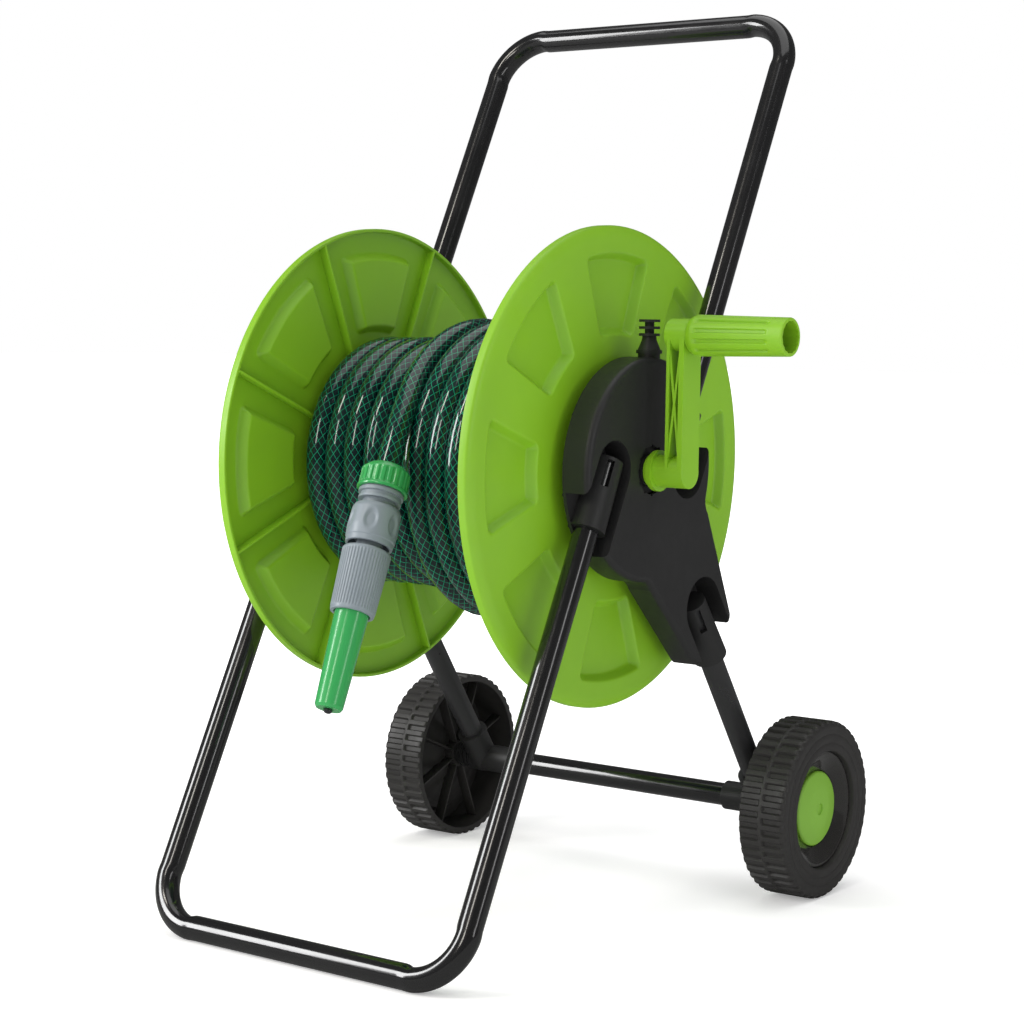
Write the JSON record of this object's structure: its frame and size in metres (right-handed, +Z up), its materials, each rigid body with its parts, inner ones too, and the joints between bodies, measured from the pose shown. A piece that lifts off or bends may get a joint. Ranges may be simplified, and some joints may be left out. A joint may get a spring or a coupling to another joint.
{
  "type": "garden hose reel cart",
  "caption": "Wheeled garden hose reel: tubular frame, moulded side brackets, flanged drum with a crank and a wound hose ending in a quick connector and twist nozzle.",
  "frame": {"origin": "centre of the footprint of the whole cart, on the ground", "axes": "+Z up, +Y from the foot bar towards the wheels, +X towards the crank"},
  "size_m": [0.4576, 0.4796, 0.6926],
  "materials": {
    "tube_black": "gloss",
    "leg_black": "satin",
    "steel": "zinc plated",
    "disc_black": "gloss",
    "wheel_black": "matt",
    "cap_green": "satin",
    "bush_plastic": "satin",
    "bracket_black": "matt",
    "seal_rubber": "matt",
    "drum_green": "satin",
    "spindle_black": "satin",
    "hose_green": "gloss",
    "fitting_green": "gloss",
    "fitting_grey": "satin",
    "needle_black": "gloss"
  },
  "bodies": {
    "frame": {"axle_clips": "steel", "axle_rod": "steel", "axle_tube": "tube_black", "axle_washers": "steel", "foot_tube": "tube_black", "handle_tube": "tube_black", "left_axle_tee": "bracket_black", "left_bearing_plug": "bracket_black", "left_cover_screws": "steel", "left_hub_bush": "bush_plastic", "left_rear_leg": "leg_black", "left_side_cover": "bracket_black", "left_side_frame": "bracket_black", "left_tube_screws": "steel", "right_axle_tee": "bracket_black", "right_cover_screws": "steel", "right_hub_bush": "bush_plastic", "right_rear_leg": "leg_black", "right_side_cover": "bracket_black", "right_side_frame": "bracket_black", "right_tube_screws": "steel", "water_inlet": "bracket_black"},
    "reel": {"connector_body": "fitting_grey", "connector_gripper": "fitting_grey", "connector_nut": "fitting_green", "connector_seal": "seal_rubber", "crank_arm": "drum_green", "drum_core": "drum_green", "grip_screw": "steel", "grip_washer": "steel", "hose_coil": "hose_green", "hose_free_end": "hose_green", "hose_tail": "spindle_black", "left_flange": "drum_green", "left_hub_screws": "steel", "left_hub_spindle": "spindle_black", "nozzle_body": "fitting_grey", "nozzle_needle": "needle_black", "right_flange": "drum_green", "right_hub_screws": "steel", "right_hub_spindle": "spindle_black", "spindle_seals": "seal_rubber"},
    "crank_grip": {"crank_grip": "drum_green"},
    "left_wheel": {"left_hub_cap": "cap_green", "left_wheel": "wheel_black", "left_wheel_disc": "disc_black"},
    "right_wheel": {"right_hub_cap": "cap_green", "right_wheel": "wheel_black", "right_wheel_disc": "disc_black"},
    "release_sleeve": {"connector_sleeve": "fitting_grey"},
    "nozzle_carriage": {"nozzle_seal": "seal_rubber"},
    "nozzle_barrel": {"nozzle_barrel": "fitting_green"}
  },
  "joints": [
    {"name": "reel_spin", "type": "hinge", "parent": "frame", "child": "reel", "pos_m": [-0.0327, -0.02206, 0.3426], "axis": [1, 0, 0], "continuous": true},
    {"name": "grip_spin", "type": "hinge", "parent": "reel", "child": "crank_grip", "pos_m": [0.1923, -0.02206, 0.4396], "axis": [1, 0, 0], "continuous": true},
    {"name": "left_wheel_spin", "type": "hinge", "parent": "frame", "child": "left_wheel", "pos_m": [-0.2087, 0.16984, 0.07], "axis": [1, 0, 0], "continuous": true},
    {"name": "right_wheel_spin", "type": "hinge", "parent": "frame", "child": "right_wheel", "pos_m": [0.1433, 0.16984, 0.07], "axis": [1, 0, 0], "continuous": true},
    {"name": "connector_release", "type": "slide", "parent": "reel", "child": "release_sleeve", "axis": [-0.0813, 0.4396, 0.8945], "range_m": [0, 0.003], "stiffness_N_per_m": 400, "springref_m": -0.005},
    {"name": "nozzle_travel", "type": "slide", "parent": "reel", "child": "nozzle_carriage", "axis": [0.0813, -0.4396, -0.8945], "range_m": [0, 0.004]},
    {"name": "nozzle_twist", "type": "hinge", "parent": "nozzle_carriage", "child": "nozzle_barrel", "pos_m": [-0.0198, -0.15206, 0.3433], "axis": [0.0813, -0.4396, -0.8945], "range_deg": [0, 360]}
  ],
  "couplings": [
    {"joint": "nozzle_twist", "follows": "nozzle_travel", "rad_per_m": 1570.8}
  ]
}
